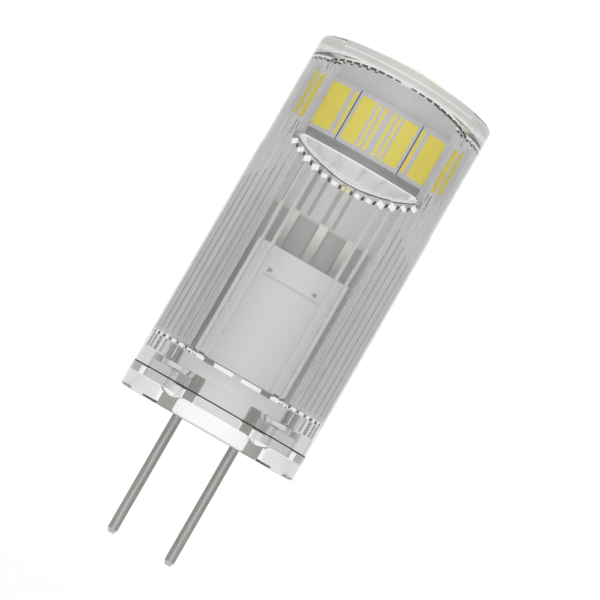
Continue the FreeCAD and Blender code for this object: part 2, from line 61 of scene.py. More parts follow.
# Sizes of the lamp in millimetres, as its source has them
CHAMBER = 4.95        # radius of the chamber inside the cover
CEILING_EDGE = 23.46  # height of the chamber's domed ceiling at the wall
CEILING_TOP = 24.5    # and in the middle
SHELF_FOOT = 16.9     # height of the sloped shelf at the wall
SHELF_RISE = 1.65     # how far the shelf rises
SHELF_RUN = 2.25      # over this much depth
RIB_PITCH = math.tau / 44

# Light that has turned more often than this inside the clear plastic leaves it straight
MOST_TURNS = 3.5

# Sizes of the fine pieces that are made here, in millimetres
SHELF_END = 2.68      # ribs less deep than this run up beside the light sources
RIB_FOOT = 3.96       # lower end of the ribs' crests and stripes
RIB_HEAD = 23.3       # their upper end beside the light sources
BOARD_FACE = 0.402    # inner depth of what lies on the board's face
COPPER_FACE = 0.425   # and its outer depth
SHOULDER_LOW, SHOULDER_HIGH = 23.83, 24.62
THIN = 0.02           # thickness of a strip inside the wall

# Detail on the chamber's own wall is lost to total reflection towards the sides of the lamp.  What
# has to show there is set a little further out, inside the solid plastic, at these radii.  It stands
# for what the real wall does to light, and its places are given one by one.
STRIPES = 5.0
RIB_ENDS = 5.02
IN_WALL = 5.03
SHOULDER = 5.56
CHAMFER = 5.95


def linear(code):
    """The scene-linear colour of an sRGB hex code."""
    parts = [int(code[i:i + 2], 16) / 255 for i in (1, 3, 5)]
    return tuple(v / 12.92 if v <= 0.04045 else ((v + 0.055) / 1.055) ** 2.4 for v in parts) + (1.0,)


def colour(name, description, code):
    return FloatVectorProperty(name=name, description=description, subtype="COLOR", size=4,
                               min=0.0, max=1.0, default=linear(code))


def length(name, description, value):
    return FloatProperty(name=name, description=description, unit="LENGTH", precision=5,
                         default=value * MM)


class BulbColours(PropertyGroup):
    clear: colour("Clear plastic", "Tint that each wall of the polycarbonate gives", "#FAFAFA")
    veil: colour("Veil", "What each wall lets through of the soft light", "#FAFAFA")
    # Painted shade: the grey that light takes on when it leaves the plastic after many turns inside thick
    # corners
    depth: colour("Depth", "Grey that thick corners take on", "#E6E6E5")
    phosphor: colour("Phosphor", "Unlit phosphor in the light sources", "#F0DE40")
    frame: colour("Package", "White plastic of the light sources", "#C8C7CB")
    mask: colour("Board", "White solder mask", "#E2E2E0")
    # Partly painted shade: the film's grey also stands for the shade behind the driver cap
    film: colour("Film", "Grey insulating film", "#B8B8B6")
    cap: colour("Driver cap", "Light grey moulding of the driver", "#DADAD9")
    terminal: colour("Terminal block", "Light grey block on the plug", "#EEEEED")
    pin: colour("Pins", "Tinned wire", "#BCBCB8")
    recess: colour("Recess", "Shade inside the marks of the cap", "#A2A2A0")
    crease: colour("Crease", "Shade along the crease of the cap", "#E2E2DE")
    lead: colour("Lead", "Solder-coated strips that feed the light sources", "#EFEDE6")
    lead_foot: colour("Lead foot", "Shaded foot of those strips", "#BEBEBB")
    rail: colour("Rail", "Satin ends of the guide rails", "#DFDFDD")
    # Painted highlight: cut faces, rims, rib ends and rings of the clear plastic that turn to the light
    cut_highlight: colour("Facet", "Bright cut faces of the clear plastic", "#FBFBFB")
    glint: colour("Glint", "Phosphor mirrored in the middle of the row of rib ends", "#E8DC8C")
    # Painted shade on the board above the light sources, and the grey of the frosted shelf
    upper: colour("Upper field", "Solder mask over the upper copper, and the frosted shelf", "#CCCCCA")
    crest: colour("Crest", "Satin crests of the ribs", "#CFCFCD")
    # Painted light: pale veils inside the wall that stand for the ribs' flanks turning the light
    flank: colour("Flank", "Satin flanks of the ribs at the sides", "#E4E4E3")
    mirrored: colour("Mirrored phosphor", "Phosphor mirrored between the ribs", "#FAEC66")
    line: colour("Line", "Bright lines between the ribs", "#E6E6E6")
    post: colour("Post", "Satin faces of the plug's posts", "#DADAD8")
    panel: colour("Panel", "Frosted panels of the plug's floor", "#FCFCFB")
    rim: colour("Rim", "Shaded foot of the shelf and of the ribs", "#8C8C8A")
    ray: colour("Ray", "Soft rays on the shelf", "#F4F4F3")
    step: colour("Step", "Moulded steps of the shoulder, between its bright rings", "#E4E4E3")
    # Painted shade: cuts and rib ends that turn away from the light, and the dashes under the dome
    dark_cut_shade: colour("Bead", "Dark ends of the ribs and dark cuts in the plug", "#343434")
    track: colour("Track", "Solder mask over copper tracks", "#B9B9B7")
    # Painted shade on the board below the light sources
    field: colour("Copper field", "Solder mask over the copper under the light sources", "#A9A9A8")
    chamfer: colour("Chamfer", "Shaded lower edge of the plug", "#858583")
    seam: colour("Seam", "Dark line of the joint between cover and plug", "#1C1C1C")


class BulbSizes(PropertyGroup):
    floor_drop: length("Floor drop", "How far the floor lies under the pins", 30.0)
    camera_distance: length("Camera distance", "From the lamp's axis to the lens", 150.0)
    camera_height: length("Camera height", "Above the underside of the base", 0.5)
    aim_across: length("Aim across", "Point that the picture is centred on", 0.93)
    aim_height: length("Aim height", "Point that the picture is centred on", 9.9)
    view_width: length("Picture width", "Width that the frame covers at the axis", 36.9)
    side_level: FloatProperty(name="Side level", description="Brightness of the studio's sides "
                              "through clear plastic", default=0.78)
    gloss_level: FloatProperty(name="Gloss level", description="Brightness of the studio's sides "
                               "as metal and gloss mirror them", default=0.4)
    roll: FloatProperty(name="Roll", description="Lean of the lamp in the picture",
                        subtype="ANGLE", default=math.radians(30.0))


def add(tree, kind, settings=None, links=None):
    """One node with its settings; links names an input and the socket that feeds it."""
    node = tree.nodes.new(kind)
    for name, value in (settings or {}).items():
        if isinstance(name, str) and hasattr(node, name):
            setattr(node, name, value)
        else:
            node.inputs[name].default_value = value
    for name, source in (links or {}).items():
        tree.links.new(source, node.inputs[name])
    return node


def new_material(name, settings):
    """A fresh Principled material; returns it with its tree and shader."""
    material = bpy.data.materials.new(name)
    material.use_nodes = True
    tree = material.node_tree
    shader = tree.nodes["Principled BSDF"]
    for socket, value in settings.items():
        shader.inputs[socket].default_value = value
    return material, tree, shader


def object_pattern(tree, scale, stretch=(1.0, 1.0, 1.0)):
    """Object coordinates, scaled so that one unit is one feature of the given size."""
    place = add(tree, "ShaderNodeTexCoord")
    size = [factor / (scale * MM) for factor in stretch]
    return add(tree, "ShaderNodeMapping", {"Scale": size}, {"Vector": place.outputs["Object"]})


def colours():
    return bpy.context.scene.bulb_colours


def sizes():
    return bpy.context.scene.bulb_sizes


def clear_polycarbonate():
    """Injection-moulded clear polycarbonate: glassy and polished, with a grey cast that builds up
    wall by wall, so that ribs and edges read as soft stripes.  Soft light passes straight in, as it
    does through a thin clear wall, so the pieces inside are evenly lit, and light that was mirrored
    many times inside the plastic leaves it, so that thick corners glow instead of going black."""
    material, tree, shader = new_material("moulded clear polycarbonate", {
        "Base Color": colours().clear, "Roughness": 0.0, "IOR": 1.58, "Transmission Weight": 1.0})
    path = add(tree, "ShaderNodeLightPath")
    caught = add(tree, "ShaderNodeMath", {"operation": "GREATER_THAN", 1: MOST_TURNS},
                 {0: path.outputs["Ray Depth"]})
    lit = add(tree, "ShaderNodeMath", {"operation": "MAXIMUM"},
              {0: path.outputs["Is Shadow Ray"], 1: path.outputs["Is Diffuse Ray"]})
    soft = add(tree, "ShaderNodeMath", {"operation": "MAXIMUM"},
               {0: lit.outputs[0], 1: caught.outputs[0]})
    deep = add(tree, "ShaderNodeMath", {"operation": "SUBTRACT", "use_clamp": True},
               {0: caught.outputs[0], 1: lit.outputs[0]})
    # Light caught by many turns is let out with the depth grey, which is painted shade in thick corners;
    # soft light passes with the veil
    tint = add(tree, "ShaderNodeMix", {"data_type": "RGBA"}, {0: deep.outputs[0]})
    tint.inputs[6].default_value = colours().veil
    tint.inputs[7].default_value = colours().depth
    through = add(tree, "ShaderNodeBsdfTransparent", {}, {"Color": tint.outputs[2]})
    both = add(tree, "ShaderNodeMixShader", {}, {0: soft.outputs[0], 1: shader.outputs[0],
                                                 2: through.outputs[0]})
    tree.links.new(both.outputs[0], tree.nodes["Material Output"].inputs["Surface"])
    return material


def dress(nodes, material):
    """Puts one material on every slot of the named CAD nodes."""
    for name in nodes:
        node = frame["nodes"][name]
        for slot in node.material_slots:
            slot.material = material


def shades(base, less, more):
    """A darker and a lighter tone of a colour, by two factors."""
    return ([channel * less for channel in base[:3]] + [1.0],
            [min(1.0, channel * more) for channel in base[:3]] + [1.0])


def mottled(name, base, size, amount, settings, bump=0.0):
    """A moulded or printed finish: a fine change of tone and, where wanted, of height.  The size is
    that of one patch in millimetres.  Real grain on these pieces is finer than 0.1 mm and too fine
    to show, so it is drawn as coarse as each piece needs."""
    material, tree, shader = new_material(name, settings)
    place = object_pattern(tree, size)
    noise = add(tree, "ShaderNodeTexNoise", {"Scale": 1.0, "Detail": 3.0, "Roughness": 0.6},
                {"Vector": place.outputs["Vector"]})
    tone = add(tree, "ShaderNodeMix", {"data_type": "RGBA"})
    tone.inputs[6].default_value, tone.inputs[7].default_value = shades(base, 1.0 - amount, 1.0 + amount)
    tree.links.new(noise.outputs["Fac"], tone.inputs[0])
    tree.links.new(tone.outputs[2], shader.inputs["Base Color"])
    if bump:
        relief = add(tree, "ShaderNodeBump", {"Strength": 0.4, "Distance": bump * MM},
                     {"Height": noise.outputs["Fac"]})
        tree.links.new(relief.outputs["Normal"], shader.inputs["Normal"])
    return material


def new_piece(name, build, material):
    """A new piece whose mesh one function builds; it rides on the lamp."""
    mesh = bmesh.new()
    build(mesh)
    bmesh.ops.recalc_face_normals(mesh, faces=mesh.faces)
    data = bpy.data.meshes.new(name)
    mesh.to_mesh(data)
    mesh.free()
    piece = bpy.data.objects.new(name, data)
    bpy.context.scene.collection.objects.link(piece)
    data.materials.append(material)
    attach(piece, "root")
    return piece


def turned(mesh, outline, count=96):
    """A closed outline of radius and height in millimetres, turned once round the lamp's axis."""
    points = [mesh.verts.new((radius * MM, 0, height * MM)) for radius, height in outline]
    edges = [mesh.edges.new((points[i - 1], points[i])) for i in range(len(points))]
    bmesh.ops.spin(mesh, geom=points + edges, cent=(0, 0, 0), axis=(0, 0, 1), dvec=(0, 0, 0),
                   angle=math.tau, steps=count, use_merge=True)


def prism(mesh, outline, front, back, edge=0.0):
    """An outline of x and z in millimetres, raised from one depth to another, its edges eased."""
    face = mesh.faces.new([mesh.verts.new((x * MM, front * MM, z * MM)) for x, z in outline])
    made = bmesh.ops.extrude_face_region(mesh, geom=[face])
    moved = [item for item in made["geom"] if isinstance(item, bmesh.types.BMVert)]
    bmesh.ops.translate(mesh, verts=moved, vec=(0, (back - front) * MM, 0))
    if edge:
        bmesh.ops.bevel(mesh, geom=mesh.edges[:], offset=edge * MM, segments=1, affect="EDGES",
                        profile=0.5, material=-1)


def ribbon(mesh, low, high, thick):
    """A thin strip between two rows of points in millimetres."""
    rows = [[mesh.verts.new([n * MM for n in point]) for point in row] for row in (low, high)]
    made = [mesh.faces.new((rows[0][i], rows[0][i + 1], rows[1][i + 1], rows[1][i]))
            for i in range(len(low) - 1)]
    bmesh.ops.solidify(mesh, geom=made, thickness=thick * MM)


def quarters():
    """Front (-1) and back (1), each with left (-1) and right (1)."""
    return [(way, side) for way in (-1, 1) for side in (-1, 1)]


def wall_strip(mesh, first, last, low, high, radius):
    """An upright strip inside the wall, between two angles in degrees from the middle of the front,
    and the same on the other three quarters."""
    for way, side in quarters():
        turns = [math.radians(turn) for turn in steps(first, last, 5)]
        row = [(radius * math.sin(turn) * side, radius * math.cos(turn) * way) for turn in turns]
        ribbon(mesh, [(x, y, low) for x, y in row], [(x, y, high) for x, y in row], THIN)


def spans(low, high, *angles):
    """Strips of one height between the given pairs of angles."""
    return [(first, last, low, high) for first, last in angles]


def shelf_rise(deep):
    """How much higher the sloped shelf is at a depth than at the chamber's wall."""
    return (CHAMBER - deep) * SHELF_RISE / SHELF_RUN


def shelf_point(angle, radius, lift, way):
    """A point at the foot of the sloped shelf, at an angle from the middle of the front or back."""
    across, deep = radius * math.sin(angle), radius * math.cos(angle)
    return across, deep * way, SHELF_FOOT + shelf_rise(deep) + lift


def rectangle(left, right, low, high):
    return [(left, low), (right, low), (right, high), (left, high)]


def bar(middle, width, low, high):
    """A rectangle of a given width about its middle."""
    return rectangle(middle - width / 2, middle + width / 2, low, high)


def plate(mesh, outline, inner, outer, way):
    """A plate between two depths in front of the lamp's middle (way -1) or behind it (way 1)."""
    near, far = sorted((inner * way, outer * way))
    prism(mesh, outline, near, far)


def lip(inner, outer, low, high):
    """Section of a fine ring with a blunt outer edge."""
    return [(inner, low), (outer, low), (outer + 0.02, (low + high) / 2), (outer, high), (inner, high)]


def steps(first, last, count):
    """Evenly spaced numbers from the first to the last."""
    return [first + (last - first) * i / (count - 1) for i in range(count)]


def ceiling(radius):
    """Height of the chamber's domed ceiling at a distance from the axis, in millimetres."""
    rise = CEILING_TOP - CEILING_EDGE
    ball = (CHAMBER ** 2 + rise ** 2) / (2 * rise)
    return CEILING_TOP - ball + math.sqrt(ball ** 2 - radius ** 2)


def block(mesh, centre, size, turn=0.0, lean=0.0):
    """A small bevelled block in millimetres, turned about the upright and leaned about its depth."""
    place = (Matrix.Translation(Vector(centre) * MM) @ Matrix.Rotation(turn, 4, "Z")
             @ Matrix.Rotation(lean, 4, "Y") @ Matrix.Diagonal([n * MM for n in size] + [1.0]))
    made = bmesh.ops.create_cube(mesh, size=1.0, matrix=place)
    edges = {edge for vert in made["verts"] for edge in vert.link_edges}
    bmesh.ops.bevel(mesh, geom=list(edges), offset=min(size) * 0.18 * MM, segments=1,
                    affect="EDGES", profile=0.5, material=-1)


class BULB_OT_clear_parts(Operator):
    """Clear cover and clear plug"""
    bl_idname = "bulb.clear_parts"
    bl_label = "Clear parts"

    def execute(self, context):
        dress(["clear_cover", "base_plug"], clear_polycarbonate())
        return {"FINISHED"}


class BULB_OT_pins(Operator):
    """Contact pins"""
    bl_idname = "bulb.pins"
    bl_label = "Contact pins"

    def execute(self, context):
        # Drawn copper wire, tinned: a satin grey metal with streaks along its length.  The real
        # drawing marks are some microns wide, so they are drawn 0.1 mm wide to show at all.
        material, tree, shader = new_material("tinned wire", {"Metallic": 1.0, "Roughness": 0.3})
        place = object_pattern(tree, 0.1, (1.0, 1.0, 0.05))
        noise = add(tree, "ShaderNodeTexNoise", {"Scale": 1.0, "Detail": 2.0},
                    {"Vector": place.outputs["Vector"]})
        tone = add(tree, "ShaderNodeMix", {"data_type": "RGBA"})
        tone.inputs[6].default_value, tone.inputs[7].default_value = shades(colours().pin, 0.7, 1.25)
        tree.links.new(noise.outputs["Fac"], tone.inputs[0])
        tree.links.new(tone.outputs[2], shader.inputs["Base Color"])
        dress(["contact_pin_left", "contact_pin_right"], material)
        return {"FINISHED"}


class BULB_OT_plastics(Operator):
    """Opaque plastic pieces: cap, terminal block and film"""
    bl_idname = "bulb.plastics"
    bl_label = "Plastic pieces"

    def execute(self, context):
        hues = colours()
        # Moulded and faintly matt: the cap reads as one soft grey face.
        nylon = mottled("moulded grey nylon", hues.cap, 0.5, 0.03, {"Roughness": 0.5}, 0.01)
        dress(["driver_cap"], nylon)
        # The same plastic with less grey in it: the block looks whiter than the cap.
        terminal = mottled("terminal nylon", hues.terminal, 0.5, 0.03, {"Roughness": 0.5})
        dress(["terminal_block"], terminal)
        # Rolled sheet, flat and dull; its grey is also painted shade, so it sinks behind the block as a
        # darker ground.
        film = mottled("grey film", hues.film, 0.8, 0.04, {"Roughness": 0.6})
        dress(["insulating_sheet"], film)
        return {"FINISHED"}


class BULB_OT_board(Operator):
    """Board, light sources and chip parts"""
    bl_idname = "bulb.board"
    bl_label = "Board and light sources"

    def execute(self, context):
        hues = colours()
        # Printed lacquer on glass fibre: white with a slight sheen.
        mask = mottled("white solder mask", hues.mask, 0.7, 0.03, {"Roughness": 0.45})
        dress(["led_board"], mask)
        # Moulded white resin that looks cool grey beside the phosphor.
        resin = mottled("package resin", hues.frame, 0.4, 0.02, {"Roughness": 0.4})
        dress(["led_frames_front", "led_frames_back"], resin)
        # Powder cast in clear silicone: an even yellow with a fine grain.
        phosphor = mottled("phosphor in silicone", hues.phosphor, 0.12, 0.05, {"Roughness": 0.45})
        dress(["led_phosphor_front", "led_phosphor_back"], phosphor)
        # Printed lacquer of the small board: a deep, slightly shiny green.
        green = mottled("green solder mask", linear("#2C6B43"), 0.5, 0.05, {"Roughness": 0.35})
        dress(["driver_board"], green)
        # Pressed resin with a dull, sandy black skin.
        epoxy = mottled("black epoxy", linear("#1E1E20"), 0.15, 0.2, {"Roughness": 0.6})
        dress(["rectifier", "driver_chip"], epoxy)
        # Fired glass over the resistors and the fuse: black and shiny.
        glaze = mottled("black glaze", linear("#151517"), 0.2, 0.2, {"Roughness": 0.25})
        dress(["chip_resistors", "fuse"], glaze)
        # Sintered ceramic: a dense, even tan.
        ceramic = mottled("tan ceramic", linear("#A08A62"), 0.15, 0.06, {"Roughness": 0.5})
        dress(["input_capacitor", "output_capacitor"], ceramic)
        # Strips dipped in solder: pale and satin, and in the shade of the cap at their feet.
        lead, tree, shader = new_material("solder-coated strip", {"Roughness": 0.4})
        place = object_pattern(tree, 1.0)
        parts = add(tree, "ShaderNodeSeparateXYZ", {}, {0: place.outputs["Vector"]})
        rise = add(tree, "ShaderNodeMapRange", {"From Min": 12.4, "From Max": 14.0},
                   {"Value": parts.outputs["Z"]})
        tone = add(tree, "ShaderNodeMix", {"data_type": "RGBA"}, {0: rise.outputs["Result"]})
        tone.inputs[6].default_value = hues.lead_foot
        tone.inputs[7].default_value = hues.lead
        tree.links.new(tone.outputs[2], shader.inputs["Base Color"])
        dress(["module_leads"], lead)
        metal = {"Metallic": 1.0, "Roughness": 0.3}
        # Solder that froze as it wetted the leads: a bright, uneven grey.
        tin = mottled("tinned metal", linear("#C8C8C6"), 0.2, 0.08, metal)
        dress(["rectifier_leads", "driver_chip_leads", "solder_joints"], tin)
        # Pressed and fired iron oxide: charcoal, with no shine.
        ferrite = mottled("ferrite", linear("#2B2A2A"), 0.15, 0.15, {"Roughness": 0.7})
        dress(["choke_core"], ferrite)
        # Wire under clear enamel: a warm, dark orange gleam.
        copper = mottled("enamelled copper", linear("#B5612E"), 0.1, 0.1, metal)
        dress(["choke_winding"], copper)
        return {"FINISHED"}


class BULB_OT_seam(Operator):
    """Dark line of the joint between cover and plug, and the shaded lower edge of the plug"""
    bl_idname = "bulb.seam"
    bl_label = "Joint line"

    def execute(self, context):
        # A gap between two clear edges that holds no light: nearly black.
        shadow = mottled("shadowed joint", colours().seam, 0.5, 0.2, {"Roughness": 0.9})
        # The plug's lower edge turns away from the light: a mid grey line.
        edge = mottled("shaded chamfer", colours().chamfer, 0.4, 0.2, {"Roughness": 0.8})
        new_piece("joint_line", lambda mesh: turned(mesh, lip(5.3, 6.0, 1.643, 1.717)),
                  shadow)
        new_piece("chamfer_line", lambda mesh: turned(mesh, lip(5.7, CHAMFER, 0.005, 0.045)),
                  edge)
        # The dashes on the chamfer are painted shade in the same near black
        dashes = spans(0.03, 0.14, (35.0, 47.0), (61.0, 80.0))
        new_piece("chamfer_dashes", lambda mesh: [wall_strip(mesh, *dash, CHAMFER) for dash in dashes],
                  shadow)
        return {"FINISHED"}


class BULB_OT_cap_marks(Operator):
    """Shaded marks and crease on the face of the driver cap"""
    bl_idname = "bulb.cap_marks"
    bl_label = "Cap marks"

    def execute(self, context):
        hues = colours()
        # The floor of each moulded mark lies in its own shade: a mid grey.
        recess = mottled("shaded recess", hues.recess, 0.5, 0.03, {"Roughness": 0.6})
        # The cap's own grey, as soft as its face, laid in a strip over the shaded gap under the cap:
        # painted light that hides the shade there.
        foot = mottled("cap edge", hues.cap, 0.5, 0.03, {"Roughness": 0.5})
        # A shallow step across the cap that hardly turns from the light: a pale line.
        crease = mottled("shaded crease", hues.crease, 0.5, 0.03, {"Roughness": 0.6})
        face = -2.99
        for side in (-1, 1):
            arrow = [(1.57 * side, 10.2), (1.28 * side, 10.35), (1.57 * side, 10.5)]
            new_piece(f"cap_mark_{side + 2}", lambda mesh: prism(mesh, arrow, face, -2.92, 0.01),
                      recess)
            slot = bar(2.87 * side, 0.07, 10.12, 10.58)
            new_piece(f"cap_slot_{side + 2}", lambda mesh: prism(mesh, slot, -3.012, face, 0.01),
                      recess)
        line = bar(0.0, 4.3, 3.93, 4.06)
        new_piece("cap_foot_painted_light", lambda mesh: prism(mesh, line, -3.02, face, 0.01), foot)
        step = bar(0.0, 3.44, 9.96, 10.04)
        new_piece("cap_crease_line", lambda mesh: prism(mesh, step, -2.985, -2.95, 0.01),
                  crease)
        return {"FINISHED"}


class BULB_OT_tracks(Operator):
    """Copper tracks under the mask of the board, and fields of painted shade on it below and above the
    light sources
    """
    bl_idname = "bulb.tracks"
    bl_label = "Board tracks"

    def execute(self, context):
        hues = colours()
        # Copper under white lacquer shows through as a soft grey on the tracks.  The wide field below the
        # light sources is darker: painted shade where the board lies in shade.
        track = mottled("mask over copper", hues.track, 0.6, 0.03, {"Roughness": 0.45})
        field = mottled("mask over a copper field", hues.field, 0.35, 0.06, {"Roughness": 0.45})
        # The upper field is painted shade too, paler, as the board above the light sources catches light
        # from the dome.
        upper = mottled("mask over the upper copper", hues.upper, 0.4, 0.05, {"Roughness": 0.45})
        tracks = ((-2.0, 0.32), (-1.25, 0.22), (-0.2, 0.3), (0.5, 0.24))
        for number, (middle, width) in enumerate(tracks, 1):
            outline = bar(middle, width, 14.62, 18.3)
            new_piece(f"track_{number}",
                      lambda mesh: prism(mesh, outline, -COPPER_FACE, -BOARD_FACE, 0.004),
                      track)
        half = 4.6
        field_outline = rectangle(-half, half, 18.35, 19.28)
        arch = [(-half, 22.84), (half, 22.84)]
        arch += [(across, ceiling(across) - 0.16) for across in steps(half, -half, 24)]
        for side in (-1, 1):
            near, far = sorted((BOARD_FACE * side, COPPER_FACE * side))
            new_piece(f"lower_shade_field_{side + 2}",
                      lambda mesh: prism(mesh, field_outline, near, far, 0.004),
                      field)
            new_piece(f"upper_field_{side + 2}", lambda mesh: prism(mesh, arch, near, far),
                      upper)
        return {"FINISHED"}


class BULB_OT_rail_ends(Operator):
    """Satin ends of the four guide rails beside the board"""
    bl_idname = "bulb.rail_ends"
    bl_label = "Rail ends"

    def execute(self, context):
        # Where the mould was left rough the clear plastic turns a soft, pale grey.
        satin = mottled("satin polycarbonate", colours().rail, 0.3, 0.03, {"Roughness": 0.5})

        def build(mesh):
            for way, side in quarters():
                plate(mesh, bar(3.67 * side, 0.74, 18.42, 23.4), 1.13, 1.17, way)
                plate(mesh, bar(3.67 * side, 0.74, 18.42, 18.5), 1.17, 2.6, way)

        new_piece("rail_ends", build, satin)
        return {"FINISHED"}


class BULB_OT_rib_crests(Operator):
    """Satin crests of the ribs on the inner wall, which read as soft grey stripes"""
    bl_idname = "bulb.rib_crests"
    bl_label = "Rib crests"

    def execute(self, context):
        # The core of the mould leaves the ribs' crests dull: thin pale stripes.
        satin = mottled("satin rib crests", colours().crest, 0.4, 0.03, {"Roughness": 0.5})
        radius, foot_radius, foot_height = 4.88, 4.86, 3.24

        def crests(mesh):
            for side in (0.0, math.pi):
                for number in range(-8, 9):
                    angle = number * RIB_PITCH
                    deep = radius * abs(math.sin(angle))
                    top = RIB_HEAD if deep < SHELF_END else SHELF_FOOT + shelf_rise(deep) - 0.08
                    turn = angle + side
                    place = (radius * math.cos(turn), radius * math.sin(turn), (top + RIB_FOOT) / 2)
                    block(mesh, place, (THIN, 0.17, top - RIB_FOOT), turn)

        def feet(mesh):
            for side in (0.0, math.pi):
                for number in range(-6, 7):
                    turn = number * RIB_PITCH + side
                    place = (foot_radius * math.cos(turn), foot_radius * math.sin(turn), foot_height)
                    block(mesh, place, (THIN, 0.13, 0.84), turn)

        new_piece("rib_crests", crests, satin)
        new_piece("rib_feet", feet, satin)
        return {"FINISHED"}


class BULB_OT_wall_lines(Operator):
    """Stripes that the ribs draw inside the wall, with the light sources mirrored between them"""
    bl_idname = "bulb.wall_lines"
    bl_label = "Wall lines"

    def execute(self, context):
        # These strips stand for what the real ribs do to light towards the sides of the lamp.  They
        # are placed where the wall of the real lamp shows such stripes and images.
        hues = colours()
        # Sides of the ribs, seen through the wall: veils of pale grey, thick or thin.
        satin = mottled("satin rib flank", hues.flank, 0.4, 0.02, {"Roughness": 0.5, "Alpha": 0.65})
        sheer = mottled("fine rib flank", hues.flank, 0.4, 0.02, {"Roughness": 0.5, "Alpha": 0.5})
        # The polished ones catch the studio's light: narrow bright lines.
        bright = mottled("polished rib flank", hues.line, 0.4, 0.02, {"Roughness": 0.3, "Alpha": 0.8})
        # Between the ribs, and at their feet over the plug, less light comes back: soft dark lines.
        groove = mottled("soft groove between ribs", hues.rim, 0.4, 0.04,
                         {"Roughness": 0.5, "Alpha": 0.32})
        foot = mottled("shaded rib foot", hues.rim, 0.4, 0.04, {"Roughness": 0.5, "Alpha": 0.5})
        # Light sources mirrored in the wall: their white and yellow, a little brighter than direct.
        package = mottled("mirrored package", hues.line, 0.4, 0.02, {"Roughness": 0.4})
        phosphor = mottled("mirrored phosphor", hues.mirrored, 0.12, 0.05, {"Roughness": 0.45})
        # Each strip has two angles in degrees from the middle of the front, and two heights.
        lines = (
            ("rib_flanks", satin, "clear_plastic", STRIPES, spans(
                RIB_FOOT, RIB_HEAD, (61.5, 67.6), (70.0, 75.3), (77.3, 83.4), (85.0, 89.5))),
            ("rib_foot_stripes", foot, "clear_plastic", STRIPES, spans(
                2.8, 3.68, (60.0, 62.0), (66.0, 70.0), (74.0, 77.0), (80.0, 84.0))),
            ("rib_grooves", groove, "clear_plastic", STRIPES + 0.04, (
                (46.2, 47.5, 4.2, 16.4), (52.3, 53.6, 4.2, 16.0), (58.6, 60.2, 4.2, 15.6),
                (65.8, 67.7, 4.2, 15.2), (73.8, 75.9, 4.2, 15.0), (81.6, 84.0, 4.2, 14.8))),
            ("rib_shades", sheer, "clear_plastic", STRIPES, (
                (40.8, 44.4, RIB_FOOT, 17.4), (46.6, 51.8, RIB_FOOT, 17.9),
                (54.0, 59.4, RIB_FOOT, 18.2))),
            ("rib_lines", bright, "clear_plastic", STRIPES, spans(
                RIB_FOOT, 18.0, (44.6, 46.2), (52.0, 53.5)) + [(59.8, 61.2, RIB_FOOT, 18.6)] + spans(
                RIB_FOOT, RIB_HEAD, (67.7, 69.9), (75.4, 77.2), (83.5, 84.9))),
            ("mirrored_packages", package, "led_frame", STRIPES + 0.04, (
                (54.0, 61.0, 19.12, 22.65), (61.0, 67.5, 19.22, 22.75), (67.5, 74.5, 19.34, 22.87))),
            ("mirrored_phosphor", phosphor, "phosphor", STRIPES + 0.08, (
                (54.2, 58.6, 19.4, 22.3), (61.7, 65.8, 19.5, 22.4))),
        )
        for name, material, slot, radius, strips in lines:
            new_piece(name, lambda mesh: [wall_strip(mesh, *strip, radius) for strip in strips],
                      material)
        return {"FINISHED"}


class BULB_OT_post_faces(Operator):
    """Satin faces of the posts in the plug, with the bright and dark cuts over them"""
    bl_idname = "bulb.post_faces"
    bl_label = "Post faces"

    def execute(self, context):
        hues = colours()
        # The posts' faces are left rough by the mould: flat light grey.
        satin = mottled("satin post", hues.post, 0.4, 0.03, {"Roughness": 0.5})
        # Sloped cuts over the posts send back the studio's white, with a dark line where they end.
        bright = mottled("polished cut", hues.cut_highlight, 0.3, 0.02, {"Roughness": 0.2})
        dark = mottled("shaded cut", hues.dark_cut_shade, 0.3, 0.2, {"Roughness": 0.4})
        # The plug's floor is frosted beside the middle: pale, nearly white fields.
        pale = mottled("frosted floor panel", hues.panel, 0.4, 0.03, {"Roughness": 0.5})
        for name, outline, inner, outer, material in (
                ("floor_panels", lambda side: bar(4.5 * side, 2.1, 0.06, 1.02), 2.2, 2.25, pale),
                ("post_faces", lambda side: bar(3.55 * side, 1.3, 1.12, 2.28), 1.9, 1.95, satin),
                ("post_cuts", lambda side: [(2.45 * side, 2.68), (3.3 * side, 2.68), (3.3 * side, 2.4),
                                            (2.62 * side, 2.4)], 1.9, 1.95, bright),
                ("post_shades", lambda side: [(2.44 * side, 2.68), (2.5 * side, 2.68),
                                              (2.62 * side, 2.38), (2.56 * side, 2.38)],
                 1.96, 2.0, dark)):
            new_piece(name, lambda mesh: [plate(mesh, outline(side), inner, outer, way)
                                          for way, side in quarters()], material)
        return {"FINISHED"}


